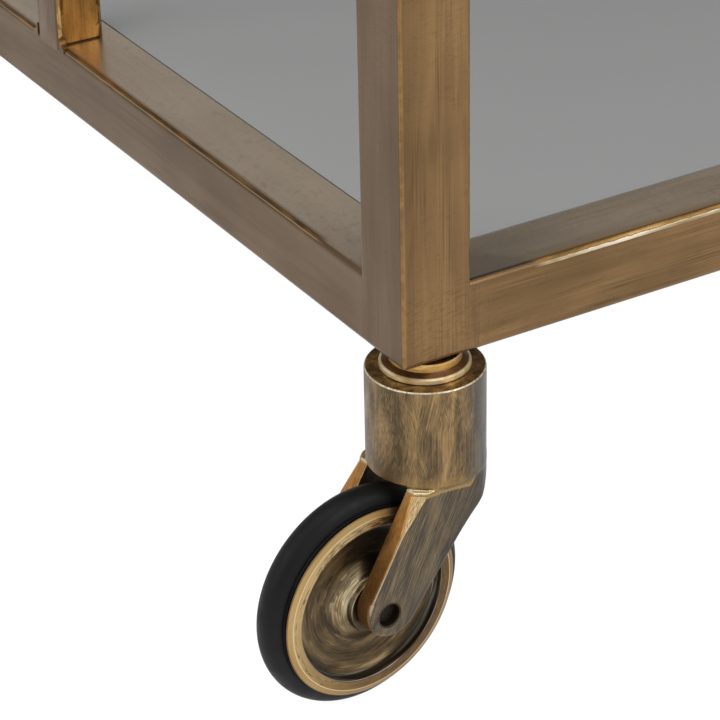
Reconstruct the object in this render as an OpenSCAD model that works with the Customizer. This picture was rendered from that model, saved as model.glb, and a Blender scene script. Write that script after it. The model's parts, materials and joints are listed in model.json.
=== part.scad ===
// Bar cart: a square-tube frame with two glass shelves on four swivel casters.
// X runs along the length, Y along the depth and Z up. The open front faces -Y.
// The origin is on the floor, under the middle of the cart.

/* [Frame] */
// Outer length of the frame
frame_length = 914; // [760:2:1100]
// Outer depth of the frame
frame_depth = 508; // [420:2:600]
// Height of the post tops above the floor
cart_height = 838; // [800:1:900]
// Height of the top shelf above the floor
shelf_height = 762; // [700:1:770]

/* [Tubes] */
// Outer width of the posts and the shelf rails
tube = 25.4; // [24:0.2:30]
// Outer width of the dividers and the gallery rails
thin_tube = 19; // [16:0.5:22]
// Wall thickness of every tube
wall = 1.6; // [1.2:0.1:2]
// Outer corner radius of the posts
tube_round = 1.4; // [1.2:0.1:2]
// Outer corner radius of the shelf rails
rail_round = 2.4; // [2:0.1:3]
// Corner radius of the shelf rails beside the glass
rail_inner_round = 0.7; // [0.5:0.1:2.4]
// Outer corner radius of the dividers and the gallery rails
thin_round = 2.4; // [1.4:0.1:3]
// Radius of the weld fillets beside a divider
weld_radius = 3.5; // [2:0.5:5]

/* [Shelves] */
// Thickness of the glass
glass = 6; // [4:1:8]
// Gap between the edge of the glass and the rails
glass_gap = 0.3; // [0.2:0.1:2]
// Drop of the glass below the top of the rails
glass_drop = 0.1; // [0:0.1:1]
// Width of the ledge bars under the glass
ledge_width = 12; // [9:1:16]
// Thickness of the ledge bars
ledge_height = 3; // [2:0.5:4]
// Thickness of the pads between the ledges and the glass
pad_height = 1; // [0.5:0.5:2]

/* [Caster] */
// Radius of the tyre
tyre_radius = 39.5; // [39:0.1:40]
// Height from the axle to the underside of the rails
axle_drop = 82.5; // [82.2:0.1:86]
// Distance from the swivel axis back to the axle
axle_trail = 28.9; // [28:0.1:29.5]
// Distance from the end face of the frame to the swivel axis
swivel_from_end = 15.3; // [12.7:0.1:15.5]
// Distance from the long face of the frame to the swivel axis
swivel_from_side = 11.8; // [11.5:0.1:13]
// Radius of the round housing
housing_radius = 19.8; // [19.5:0.1:20.2]
// Angle by which each caster is turned away from the length of the cart
caster_turn = 5.8; // [0:0.1:20]
// Distance from the middle of the fork to the inner face of an arm
arm_inner = 10.4; // [10.3:0.1:11.4]
// Distance from the middle of the fork to the outer face of an arm
arm_outer = 17.4; // [17:0.1:18.6]
// Radius of the rounded end of an arm
arm_end_radius = 10.3; // [10:0.1:10.8]
// Radius of the axle
axle_radius = 4.1; // [3.8:0.1:4.3]
// Outer radius of the brass wheel
rim_radius = 34.2; // [33.8:0.1:34.4]
// Width of the brass wheel at its outer edge
rim_width = 15.6; // [15:0.2:16]
// Width of the tyre
tyre_width = 11.2; // [11:0.2:12]

/* [Hidden] */
$fn = 96;
running_gap = 0.05;
sweep_gap = 0.4;
bore_round = 0.5;
fit_gap = 0.01;
rail_z = tyre_radius + axle_drop;
shelf_levels = [rail_z + tube, shelf_height];
post_x = frame_length / 2 - tube / 2;
post_y = frame_depth / 2 - tube / 2;
swivel_x = frame_length / 2 - swivel_from_end;
swivel_y = frame_depth / 2 - swivel_from_side;
inside_x = frame_length - 2 * tube;
inside_y = frame_depth - 2 * tube;
cap_height = 2.5;
cap_plug = 10;
post_top = cart_height - cap_height;
gallery_z = post_top - thin_tube / 2;
ledge_drop = glass_drop + glass + pad_height;
pad_radius = 5;

stem_radius = 5;
insert_height = 20;
pin_radius = 6;
thread_radius = 4;
collar_radius = 12;
collar_top = 0.4;
collar_bottom = 3.2;
washer_edge = 4.6;
washer_bottom = 5.9;
washer_radius = 15;
housing_top = 6.2;
housing_bottom = 41.4;
bush_radius = 8;
bush_bottom = 32;
nut_pocket_radius = 10;
nut_top = 33.7;
nut_height = 6;
nut_corner_radius = 7.5;
ball_radius = 1.5;
ball_circle = 11;
ball_count = 14;
groove_clear = 0.35;

arm_front = 16.4;
arm_shoulder = 43;
arm_elbow = 52.5;
arm_lean = 34.5;
axle_end = 14.4;
axle_washer = 0.6;
hub_radius = 9.5;
hub_half = arm_inner - axle_washer - sweep_gap;
wheel_bush_radius = 6;
seat_radius = 31;
flange_width = 1.2;
lip_radius = 29.1;
lip_half = 8.5;
web_half = 3;

END_NAMES = ["left", "right"];
CORNER_NAMES = ["front_left", "front_right", "rear_left", "rear_right"];
CORNER_SIGNS = [[-1, -1], [1, -1], [-1, 1], [1, 1]];
SIDE_NAMES = ["front", "rear", "left", "right"];
SHELF_NAMES = ["bottom", "top"];
CASTER_PARTS = ["fork", "swivel_bush", "axle", "axle_washers", "wheel", "wheel_bush", "tyre"];

// ---- tubes ----

module round_rect(size, radius) {
    inner = [size[0] / 2 - radius, size[1] / 2 - radius];
    square([size[0], 2 * inner[1]], center = true);
    square([2 * inner[0], size[1]], center = true);
    for (x = [-inner[0], inner[0]], y = [-inner[1], inner[1]])
        translate([x, y]) circle(radius);
}

module bar(length, width, radius) {
    linear_extrude(length) round_rect([width, width], radius);
}

module hollow_bar(length, width, radius) {
    bore = width - 2 * wall;
    linear_extrude(length) difference() {
        round_rect([width, width], radius);
        round_rect([bore, bore], bore_round);
    }
}

// The profile of a rail, with its inner side towards +X.
module rail_bar(length, width, outer, inner) {
    bore = width - 2 * wall;
    linear_extrude(length) difference() {
        union() {
            round_rect([width, width], outer);
            translate([width / 4, 0]) round_rect([width / 2, width], inner);
        }
        round_rect([bore, bore], bore_round);
    }
}

// What a rounding of this radius takes off an edge that runs along Z, with the solid towards +X and +Y.
module edge_waste(length, radius) {
    linear_extrude(length) difference() {
        translate([-1, -1]) square(radius + 1);
        translate([radius, radius]) circle(radius);
    }
}

// The foot of a post is rounded like the underside of the rails beside it.
module post(corner) {
    color("#8a6f4a") translate([corner[0] * post_x, corner[1] * post_y, rail_z]) difference() {
        hollow_bar(post_top - rail_z, tube, tube_round);
        mirror([corner[0] > 0 ? 1 : 0, 0, 0]) mirror([0, corner[1] > 0 ? 1 : 0, 0])
            translate([-tube / 2, -tube / 2, 0]) {
                translate([0, tube + 1, 0]) rotate([90, 0, 0]) edge_waste(tube + 2, rail_round);
                translate([tube + 1, 0, 0]) rotate([0, -90, 0]) edge_waste(tube + 2, rail_round);
            }
    }
}

module all_post_outlines() {
    for (corner = CORNER_SIGNS)
        translate([corner[0] * post_x, corner[1] * post_y, rail_z - tube])
            bar(cart_height, tube + 2 * fit_gap, tube_round + fit_gap);
}

// A rail reaches into the rounded corners of its posts, so that its faces lie flush with theirs.
module rail(side, height, width, outer, inner) {
    lengthwise = side < 2;
    sign = side % 2 == 0 ? -1 : 1;
    span = (lengthwise ? inside_x : inside_y) + 2 * tube_round;
    inset = (tube - width) / 2;
    color("#8a6f4a") difference() {
        if (lengthwise)
            translate([-span / 2, sign * (post_y + inset), height]) rotate([0, 90, 0])
                rotate(-sign * 90) rail_bar(span, width, outer, inner);
        else
            translate([sign * (post_x + inset), span / 2, height]) rotate([90, 0, 0])
                rotate(90 + sign * 90) rail_bar(span, width, outer, inner);
        all_post_outlines();
    }
}

// The fillet between a divider and a rail: a square corner with a quarter circle taken out of it.
module weld_fillet() {
    depth = 2.5;
    rotate([0, -90, 0]) translate([0, 0, -depth]) linear_extrude(depth) difference() {
        translate([-rail_round, 0]) square([weld_radius + rail_round, weld_radius]);
        translate([weld_radius, weld_radius]) circle(weld_radius);
    }
}

module divider(end) {
    low = shelf_levels[0];
    high = shelf_levels[1] - tube;
    face_x = -frame_length / 2;
    color("#9a7440") mirror([end, 0, 0]) difference() {
        union() {
            translate([face_x + thin_tube / 2, 0, low - rail_round])
                hollow_bar(high - low + 2 * rail_round, thin_tube, thin_round);
            for (side = [0, 1]) mirror([0, side, 0]) {
                translate([face_x, thin_tube / 2, low]) weld_fillet();
                translate([face_x, thin_tube / 2, high]) mirror([0, 0, 1]) weld_fillet();
            }
        }
        for (height = [low - tube / 2, high + tube / 2])
            translate([-post_x, frame_depth / 4, height]) rotate([90, 0, 0])
                bar(frame_depth / 2, tube + 2 * fit_gap, rail_round + fit_gap);
    }
}

// ---- shelves ----

module ledges(level) {
    top = level - ledge_drop;
    short_span = inside_y - 2 * ledge_width - 1;
    color("#6d5a3c") translate([0, 0, top - ledge_height / 2]) {
        for (sign = [-1, 1]) {
            translate([0, sign * (inside_y - ledge_width) / 2, 0])
                cube([inside_x, ledge_width, ledge_height], center = true);
            translate([sign * (inside_x - ledge_width) / 2, 0, 0])
                cube([ledge_width, short_span, ledge_height], center = true);
        }
    }
}

module shelf_glass(level) {
    size = [inside_x - 2 * glass_gap, inside_y - 2 * glass_gap];
    color("#939393") translate([0, 0, level - glass_drop - glass])
        linear_extrude(glass) round_rect(size, 3);
}

module glass_pads() {
    pad_x = inside_x / 2 - 60;
    pad_y = (inside_y - ledge_width) / 2;
    color("#d8d8d4")
        for (level = shelf_levels, corner = CORNER_SIGNS)
            translate([corner[0] * pad_x, corner[1] * pad_y, level - ledge_drop])
                cylinder(h = pad_height, r = pad_radius);
}

module post_caps() {
    chamfer = 1;
    plug = tube - 2 * wall;
    color("#8a6f4a") for (corner = CORNER_SIGNS)
        translate([corner[0] * post_x, corner[1] * post_y, post_top]) difference() {
            union() {
                bar(cap_height, tube, tube_round);
                translate([0, 0, -cap_plug]) bar(cap_plug, plug, bore_round);
            }
            for (turn = [0, 90, 180, 270]) rotate(turn)
                translate([tube / 2, 0, cap_height]) rotate([0, 45, 0])
                    cube([chamfer * sqrt(2), 2 * tube, chamfer * sqrt(2)], center = true);
        }
}

// ---- fixed part of the casters ----

// Places its children on each swivel axis, with Z measured up from the underside of the rails.
module on_each_swivel() {
    for (corner = CORNER_SIGNS) on_swivel(corner) children();
}

module on_swivel(corner) {
    translate([corner[0] * swivel_x, corner[1] * swivel_y, rail_z]) children();
}

module stem_inserts() {
    plug = tube - 2 * wall;
    color("#9c9c98") for (corner = CORNER_SIGNS) difference() {
        translate([corner[0] * post_x, corner[1] * post_y, rail_z + rail_round])
            bar(insert_height - rail_round, plug, bore_round);
        on_swivel(corner) translate([0, 0, -1]) cylinder(h = insert_height + 2, r = stem_radius);
    }
}

module caster_stems() {
    neck_radius = 9;
    color("#c9a35a") on_each_swivel() rotate_extrude() polygon([
        [0, insert_height - 2], [stem_radius, insert_height - 2], [stem_radius, 0],
        [neck_radius, 0], [neck_radius, -collar_top], [collar_radius, -collar_top],
        [collar_radius, -collar_bottom], [pin_radius, -collar_bottom], [pin_radius, -nut_top + 1.2],
        [thread_radius, -nut_top + 1.2], [thread_radius, -nut_top - nut_height - 0.6],
        [0, -nut_top - nut_height - 0.6]
    ]);
}

module stem_washers() {
    color("#d2ab5e") on_each_swivel() rotate_extrude() polygon([
        [pin_radius, -collar_bottom], [collar_radius, -collar_bottom], [washer_radius, -washer_edge],
        [washer_radius, -washer_bottom], [pin_radius, -washer_bottom]
    ]);
}

module stem_nuts() {
    washer_thickness = 1.2;
    washer_r = 9;
    color("#9c9c98") on_each_swivel() difference() {
        union() {
            translate([0, 0, -nut_top]) cylinder(h = washer_thickness, r = washer_r);
            translate([0, 0, -nut_top - nut_height])
                cylinder(h = nut_height, r = nut_corner_radius, $fn = 6);
        }
        translate([0, 0, -nut_top - nut_height - 1]) cylinder(h = nut_height + 4, r = thread_radius);
    }
}

module bearing_balls() {
    color("#b8b8b8") on_each_swivel() for (i = [0 : ball_count - 1])
        rotate(i * 360 / ball_count)
            translate([ball_circle, 0, -washer_bottom - ball_radius]) sphere(ball_radius);
}

// ---- swivelling part of the casters ----

// Places its children at one post: X trails behind the swivel axis, Y runs along the axle.
module caster_at(i) {
    corner = CORNER_SIGNS[i];
    heading = corner[0] < 0 ? 180 - corner[1] * caster_turn : corner[1] * caster_turn;
    on_swivel(corner) rotate(heading) children();
}

module at_axle() {
    translate([axle_trail, 0, -axle_drop]) rotate([90, 0, 0]) children();
}

// The side outline of an arm: a straight front edge, a round end whose middle lies a little
// above and ahead of the axle, and a straight rear edge that runs up into the bent rod.
module arm_outline() {
    end = [axle_trail - 2, 1.5 - axle_drop];
    shoulder = [arm_front, -arm_shoulder];
    rear_slope = 51.3;
    rear = [-sin(rear_slope), -cos(rear_slope)];
    reach = 60 * [-cos(rear_slope), sin(rear_slope)];
    to_end = end - shoulder;
    front_angle = atan2(to_end[1], to_end[0]) + asin(arm_end_radius / norm(to_end));
    front = [-sin(front_angle), cos(front_angle)];
    top = -housing_bottom + 4;
    translate(end) circle(arm_end_radius);
    polygon([
        end, end + arm_end_radius * front, shoulder, [arm_front, top],
        [-2 * arm_front, top], end + arm_end_radius * rear + reach, end + arm_end_radius * rear
    ]);
}

// The rod that the arms are cut from: it follows the housing down to the elbow, then leans back.
// Ahead of its middle it is open, because the front faces of the arms are flat.
module bent_rod() {
    length = 60;
    translate([0, 0, -arm_elbow]) {
        cylinder(h = arm_elbow, r = housing_radius);
        sphere(housing_radius);
        rotate([0, 180 - arm_lean, 0]) cylinder(h = length, r = housing_radius);
    }
    rotate([90, 0, 0]) translate([0, 0, -length / 2]) linear_extrude(length) polygon([
        [0, -arm_shoulder], [0, -arm_elbow], [length * sin(arm_lean), -arm_elbow - length * cos(arm_lean)],
        [2 * length, -arm_elbow - length * cos(arm_lean)], [2 * length, -arm_shoulder]
    ]);
}

// One arm, with a facet that cuts off its upper front corner.
module arm() {
    facet_corner = [13, arm_outer, -arm_shoulder];
    facet_tilt = 54;
    facet_turn = 58;
    size = 60;
    difference() {
        intersection() {
            translate([0, arm_outer, 0]) rotate([90, 0, 0])
                linear_extrude(arm_outer - arm_inner) arm_outline();
            bent_rod();
        }
        intersection() {
            translate(facet_corner) rotate([0, facet_tilt, facet_turn]) translate([-size / 2, -size / 2, 0])
                cube(size);
            translate([0, 0, -arm_shoulder - size]) cube(size);
        }
    }
    intersection() {
        translate([0, 0, -arm_shoulder - 1])
            cylinder(h = arm_shoulder + 1 - housing_bottom, r1 = arm_outer, r2 = housing_radius);
        translate([-arm_front, arm_inner, -arm_shoulder - 1])
            cube([2 * arm_front, housing_radius, arm_shoulder + 2 - housing_bottom]);
    }
}

module fork() {
    chamfer = 0.6;
    color("#7f6a48") difference() {
        union() {
            translate([0, 0, -housing_bottom])
                cylinder(h = housing_bottom - housing_top - chamfer, r = housing_radius);
            translate([0, 0, -housing_top - chamfer])
                cylinder(h = chamfer, r1 = housing_radius, r2 = housing_radius - chamfer);
            arm();
            mirror([0, 1, 0]) arm();
        }
        translate([0, 0, -housing_bottom - 1]) cylinder(h = 60, r = bush_radius);
        translate([0, 0, -housing_bottom - 1])
            cylinder(h = housing_bottom + 1 - bush_bottom, r = nut_pocket_radius);
        ball_groove();
        at_axle() cylinder(h = 60, r = axle_radius, center = true);
    }
}

module ball_groove() {
    half = ball_radius + groove_clear;
    depth = 2 * ball_radius + groove_clear;
    translate([0, 0, -washer_bottom - depth]) difference() {
        cylinder(h = depth + 5, r = ball_circle + half);
        translate([0, 0, -1]) cylinder(h = depth + 7, r = ball_circle - half);
    }
}

module swivel_bush() {
    color("#b08a4c") translate([0, 0, -bush_bottom]) difference() {
        cylinder(h = bush_bottom - housing_top, r = bush_radius);
        translate([0, 0, -1]) cylinder(h = bush_bottom, r = pin_radius + running_gap);
    }
}

module axle() {
    color("#8f8f8a") at_axle() cylinder(h = 2 * axle_end, r = axle_radius, center = true);
}

module axle_washers() {
    washer_r = 7.2;
    color("#8f8f8a") for (side = [0, 1]) mirror([0, side, 0]) at_axle()
        translate([0, 0, arm_inner - axle_washer]) difference() {
            cylinder(h = axle_washer, r = washer_r);
            translate([0, 0, -1]) cylinder(h = axle_washer + 2, r = axle_radius);
        }
}

// ---- rolling part of the casters ----

// Half of the brass wheel's section, as [radius, distance from the middle plane].
// A hub with a flared foot, a thin dished web, and a conical rim face that rises to an inner lip.
module wheel_half_section() {
    rim_half = rim_width / 2;
    flare = 6;
    bead = 0.6;
    fillet = 2.4;
    wall_radius = lip_radius - 0.6;
    translate([wheel_bush_radius, 0]) square([hub_radius - wheel_bush_radius, hub_half]);
    translate([hub_radius - 0.1, 0]) square([seat_radius - hub_radius, web_half]);
    difference() {
        translate([hub_radius - 0.1, 0]) square([flare + 0.1, web_half + flare]);
        translate([hub_radius + flare, web_half + flare]) circle(flare);
    }
    difference() {
        translate([wall_radius - fillet, 0]) square([fillet + 0.1, web_half + fillet]);
        translate([wall_radius - fillet, web_half + fillet]) circle(fillet);
    }
    polygon([
        [wall_radius, 0], [seat_radius, 0], [seat_radius, rim_half - flange_width],
        [rim_radius - bead, rim_half - flange_width], [rim_radius - bead, rim_half],
        [lip_radius, lip_half], [wall_radius, lip_half - 0.6]
    ]);
    translate([rim_radius - bead, rim_half - flange_width]) square([bead, flange_width - bead]);
    translate([rim_radius - bead, rim_half - bead]) circle(bead);
}

module wheel() {
    color("#a5824f") at_axle() rotate_extrude() {
        wheel_half_section();
        mirror([0, 1]) wheel_half_section();
    }
}

module wheel_bush() {
    color("#b08a4c") at_axle() difference() {
        cylinder(h = 2 * hub_half, r = wheel_bush_radius, center = true);
        cylinder(h = 4 * hub_half, r = axle_radius + running_gap, center = true);
    }
}

// The tyre: a foot between the flanges of the rim, and a round tread that stands above them.
module tyre() {
    foot_half = rim_width / 2 - flange_width;
    half = tyre_width / 2;
    skin = rim_radius + 0.1;
    color("#232323") at_axle() rotate_extrude() {
        translate([seat_radius, -foot_half]) square([skin - seat_radius + 0.2, 2 * foot_half]);
        intersection() {
            translate([tyre_radius - half, 0]) circle(half);
            translate([skin, -half]) square([tyre_radius, tyre_width]);
        }
    }
}

// ---- the nodes ----

for (i = [0 : 3]) post(CORNER_SIGNS[i]);
for (s = [0, 1], side = [0 : 3])
    rail(side, shelf_levels[s] - tube / 2, tube, rail_round, rail_inner_round);
for (side = [0 : 3])
    rail(side, gallery_z, thin_tube, thin_round, thin_round);
for (end = [0, 1]) divider(end);
for (s = [0, 1]) ledges(shelf_levels[s]);
for (s = [0, 1]) shelf_glass(shelf_levels[s]);
glass_pads();
post_caps();
stem_inserts();
caster_stems();
stem_washers();
stem_nuts();
bearing_balls();
for (i = [0 : 3]) {
    caster_at(i) fork();
    caster_at(i) swivel_bush();
    caster_at(i) axle();
    caster_at(i) axle_washers();
    caster_at(i) wheel();
    caster_at(i) wheel_bush();
    caster_at(i) tyre();
}
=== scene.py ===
"""Looks of the bar cart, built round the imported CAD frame.

The cart's sizes are in millimetres, times MM where Blender gets them. The studio's are in metres."""
import json
import math
import bpy
import numpy as np
from mathutils import Matrix, Vector


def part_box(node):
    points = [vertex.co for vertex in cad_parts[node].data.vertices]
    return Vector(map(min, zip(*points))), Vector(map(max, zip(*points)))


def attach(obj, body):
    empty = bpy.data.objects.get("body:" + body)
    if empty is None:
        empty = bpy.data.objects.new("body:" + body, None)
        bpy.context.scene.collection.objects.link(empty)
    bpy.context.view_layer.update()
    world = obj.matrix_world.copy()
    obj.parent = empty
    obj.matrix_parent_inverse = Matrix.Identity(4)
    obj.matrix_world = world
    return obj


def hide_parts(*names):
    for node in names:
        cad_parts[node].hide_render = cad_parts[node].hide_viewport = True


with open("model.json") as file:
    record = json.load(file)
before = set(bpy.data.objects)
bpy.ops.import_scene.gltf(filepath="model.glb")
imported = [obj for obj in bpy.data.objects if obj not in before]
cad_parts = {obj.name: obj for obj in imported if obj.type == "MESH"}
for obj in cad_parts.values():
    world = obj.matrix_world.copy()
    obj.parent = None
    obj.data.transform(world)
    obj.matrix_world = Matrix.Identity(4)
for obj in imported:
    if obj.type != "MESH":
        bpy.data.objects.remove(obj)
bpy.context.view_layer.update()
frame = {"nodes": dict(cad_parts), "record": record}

MM = 0.001
CORNERS = [(end, side) for side in ("front", "rear") for end in ("left", "right")]


# ---- sizes read from the frame ----

def box_mm(node):
    low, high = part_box(node)
    return np.array(low) / MM, np.array(high) / MM


def corner_name(end, side):
    return f"{side}_{end}"


def joint(name):
    return next(j for j in frame["record"]["behaviour"]["joints"] if j["name"] == name)


def caster_frame(end, side):
    """Swivel axis point under the rails, heading angle and axle point of one caster."""
    name = corner_name(end, side)
    swivel = Vector(joint(name + "_swivel")["pos_m"])
    axle = Vector(joint(name + "_roll")["pos_m"])
    heading = math.atan2(axle.y - swivel.y, axle.x - swivel.x)
    return swivel, heading, axle


SWIVEL, _, AXLE = caster_frame("left", "front")
TRAIL = math.hypot(AXLE.x - SWIVEL.x, AXLE.y - SWIVEL.y) / MM
DROP = (SWIVEL.z - AXLE.z) / MM
TYRE_RADIUS = AXLE.z / MM
RAIL_Z = SWIVEL.z / MM
POST_LOW, POST_HIGH = box_mm("front_left_post")


# ---- node materials ----

class Material:
    """A Principled material with short calls for the nodes that feed it."""

    def __init__(self, name, roughness=0.5, metallic=0.0, **constants):
        self.data = bpy.data.materials.new(name)
        self.data.use_nodes = True
        self.tree = self.data.node_tree
        self.shader = self.tree.nodes["Principled BSDF"]
        self.shader.inputs["Roughness"].default_value = roughness
        self.shader.inputs["Metallic"].default_value = metallic
        for key, value in constants.items():
            self.shader.inputs[key.replace("_", " ")].default_value = value

    def node(self, kind, *inputs, **settings):
        made = self.tree.nodes.new(kind)
        for key, value in settings.items():
            setattr(made, key, value)
        for slot, value in enumerate(inputs):
            self.plug(value, made.inputs[slot])
        return made

    def plug(self, value, socket):
        if value is None:
            return
        if isinstance(value, bpy.types.NodeSocket):
            self.tree.links.new(value, socket)
        else:
            socket.default_value = value

    def set(self, name, value):
        self.plug(value, self.shader.inputs[name])

    def place(self):
        return self.node("ShaderNodeTexCoord").outputs["Object"]

    def split(self, vector):
        made = self.node("ShaderNodeSeparateXYZ", vector)
        return made.outputs[0], made.outputs[1], made.outputs[2]

    def join(self, x, y, z):
        return self.node("ShaderNodeCombineXYZ", x, y, z).outputs[0]

    def math(self, operation, a, b=None):
        return self.node("ShaderNodeMath", a, b, operation=operation).outputs[0]

    def add(self, a, b):
        return self.math("ADD", a, b)

    def minus(self, a, b):
        return self.math("SUBTRACT", a, b)

    def times(self, first, *more):
        for value in more:
            first = self.math("MULTIPLY", first, value)
        return first

    def plus(self, *pairs):
        """The sum of (value, weight) pairs, with each value measured from 0.5, plus 0.5."""
        total = 0.5
        for value, weight in pairs:
            total = self.add(total, self.times(self.minus(value, 0.5), weight))
        return total

    def less(self, value):
        """What is left of 1."""
        return self.minus(1.0, value)

    def normal(self):
        return self.split(self.node("ShaderNodeTexCoord").outputs["Normal"])

    def size(self, value):
        """The value without its sign."""
        return self.math("ABSOLUTE", value)

    def grain(self, vector, sizes_mm, tilt=(0, 0, 0), detail=3.0, rough=0.55, warp=0.0, shift=0.0):
        """Noise whose blobs are about sizes_mm long in x, y and z, after a turn by tilt degrees."""
        turned = self.node("ShaderNodeVectorRotate", vector, rotation_type="EULER_XYZ")
        turned.inputs["Rotation"].default_value = [math.radians(a) for a in tilt]
        scaled = self.node("ShaderNodeVectorMath", turned.outputs[0], operation="MULTIPLY_ADD")
        scaled.inputs[1].default_value = [1 / (MM * s) for s in sizes_mm]
        scaled.inputs[2].default_value = (shift, shift * 0.7, shift * 1.3)
        noise = self.node("ShaderNodeTexNoise", scaled.outputs[0])
        noise.inputs["Scale"].default_value = 1.0
        noise.inputs["Detail"].default_value = detail
        noise.inputs["Roughness"].default_value = rough
        noise.inputs["Distortion"].default_value = warp
        return noise.outputs["Fac"]

    def between(self, value, low, high, out_low=0.0, out_high=1.0, smooth=True):
        """Maps value from low..high to out_low..out_high, held at both ends."""
        made = self.node("ShaderNodeMapRange", value, low, high, out_low, out_high)
        made.interpolation_type = "SMOOTHSTEP" if smooth else "LINEAR"
        return made.outputs[0]

    def mix(self, amount, a, b):
        """Colour a where amount is 0 and colour b where it is 1."""
        made = self.node("ShaderNodeMix", data_type="RGBA")
        self.plug(amount, made.inputs[0])
        self.plug(a, made.inputs[6])
        self.plug(b, made.inputs[7])
        return made.outputs[2]

    def ramp(self, value, stops):
        """A colour from a list of (value, colour) stops."""
        made = self.node("ShaderNodeValToRGB", value)
        elements = made.color_ramp.elements
        while len(elements) < len(stops):
            elements.new(0.5)
        for element, (at, colour) in zip(elements, stops):
            element.position = at
            element.color = colour
        return made.outputs[0]

    def attribute(self, name):
        return self.node("ShaderNodeAttribute", attribute_name=name).outputs["Fac"]

    def bump(self, height, depth_mm, strength):
        made = self.node("ShaderNodeBump", strength, depth_mm * MM)
        self.plug(height, made.inputs["Height"])
        self.plug(made.outputs[0], self.shader.inputs["Normal"])


def rgb(red, green, blue):
    """A colour given as 0..255 screen values, as linear RGBA."""
    return tuple(
        (v / 255 / 12.92 if v <= 10 else ((v / 255 + 0.055) / 1.055) ** 2.4) for v in (red, green, blue)
    ) + (1.0,)


def dress(node, material):
    """Gives a CAD node this material and no other."""
    mesh = frame["nodes"][node].data
    mesh.materials.clear()
    mesh.materials.append(material.data)


# ---- meshes ----

def new_piece(name, mesh, body, node, matrix):
    obj = bpy.data.objects.new(name, mesh)
    bpy.context.scene.collection.objects.link(obj)
    obj.matrix_world = matrix
    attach(obj, body)
    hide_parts(node)


def rounded(points, steps=6):
    """A polyline of (radius, offset) points from (radius, offset, rounding) points, its corners rounded."""
    out = []
    for i, (x, y, radius) in enumerate(points):
        if radius == 0 or i in (0, len(points) - 1):
            out.append((x, y))
            continue
        here = np.array([x, y])
        before = np.array(points[i - 1][:2]) - here
        after = np.array(points[i + 1][:2]) - here
        before, after = before / np.linalg.norm(before), after / np.linalg.norm(after)
        half = math.acos(np.clip(before @ after, -1, 1)) / 2
        reach = radius / math.tan(half)
        middle = here + (before + after) / np.linalg.norm(before + after) * radius / math.sin(half)
        start, end = here + before * reach - middle, here + after * reach - middle
        turn = math.atan2(start[0] * end[1] - start[1] * end[0], start @ end)
        first = math.atan2(start[1], start[0])
        for k in range(steps + 1):
            angle = first + turn * k / steps
            out.append(tuple(middle + radius * np.array([math.cos(angle), math.sin(angle)])))
    return out


def lathe(name, outline, segments=192):
    """A closed outline of (radius, offset) in mm turned about Y."""
    count = len(outline)
    radius, offset = np.array(outline).T
    angle = np.linspace(0, 2 * math.pi, segments, endpoint=False)[:, None]
    points = np.stack([radius * np.cos(angle), offset + 0 * angle, radius * np.sin(angle)], 2)
    ring, along = np.meshgrid(np.arange(segments), np.arange(count), indexing="ij")
    here, after = ring * count, (ring + 1) % segments * count
    step = (along + 1) % count
    faces = np.stack([here + along, here + step, after + step, after + along], 2).reshape(-1, 4)
    mesh = bpy.data.meshes.new(name)
    mesh.from_pydata((points.reshape(-1, 3) * MM).tolist(), [], faces.tolist())
    mesh.polygons.foreach_set("use_smooth", [True] * len(mesh.polygons))
    mesh.set_sharp_from_angle(angle=math.radians(35))
    mesh.update()
    return mesh


def mirrored(half):
    """A closed outline from the half of it on the outer side of the middle line."""
    return half + [(radius, -offset) for radius, offset in reversed(half)]


# ---- the fork, as a distance field turned into a mesh ----
# Sizes in mm from the swivel axis at the rails' underside, with x along the trail and z up.

HOUSING = 19.8
HOUSING_TOP = -6.2
HOUSING_FOOT = -41.4
LEDGE = -42.2
ARM_SHOULDER = -43.0
ARM_IN, ARM_OUT = 10.4, 17.4
ARM_END = 10.3
ARM_FRONT = 16.4
END_X, END_Z = TRAIL - 2.0, 1.5 - DROP
REAR_SLOPE = math.radians(51.3)
ELBOW_DEPTH, ELBOW_REACH, ELBOW_SWELL = 9.0, 8.0, 1.2
BEND_DEPTH, BEND_LENGTH, BEND_RATE, BEND_LEAN, BEND_SLOPE = 14.0, 12.0, 0.032, 4.6, 0.77
AXLE_HOLE = 4.0
STEM_HOLE = 8.0
POCKET, POCKET_TOP = 10.0, -32.0
GROOVE, GROOVE_HALF, GROOVE_FLOOR = 11.0, 1.85, -9.25
# the side of each housing, in its caster's own frame, that is painted darker and greyer as shade
SHADED_SIDE = (-0.82, 0.57)


def both(a, b, radius):
    """Where a and b are both inside, with the edge between them rounded."""
    outside = np.hypot(np.maximum(a + radius, 0), np.maximum(b + radius, 0))
    return outside + np.minimum(np.maximum(a + radius, b + radius), 0) - radius


def either(a, b, radius):
    """Where a or b is inside, with the corner between them filled."""
    return -both(-a, -b, radius)


def fade(value, low, high):
    """0 below low and 1 above high, with a smooth run between them."""
    t = np.clip((value - low) / (high - low), 0, 1)
    return t * t * (3 - 2 * t)


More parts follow.
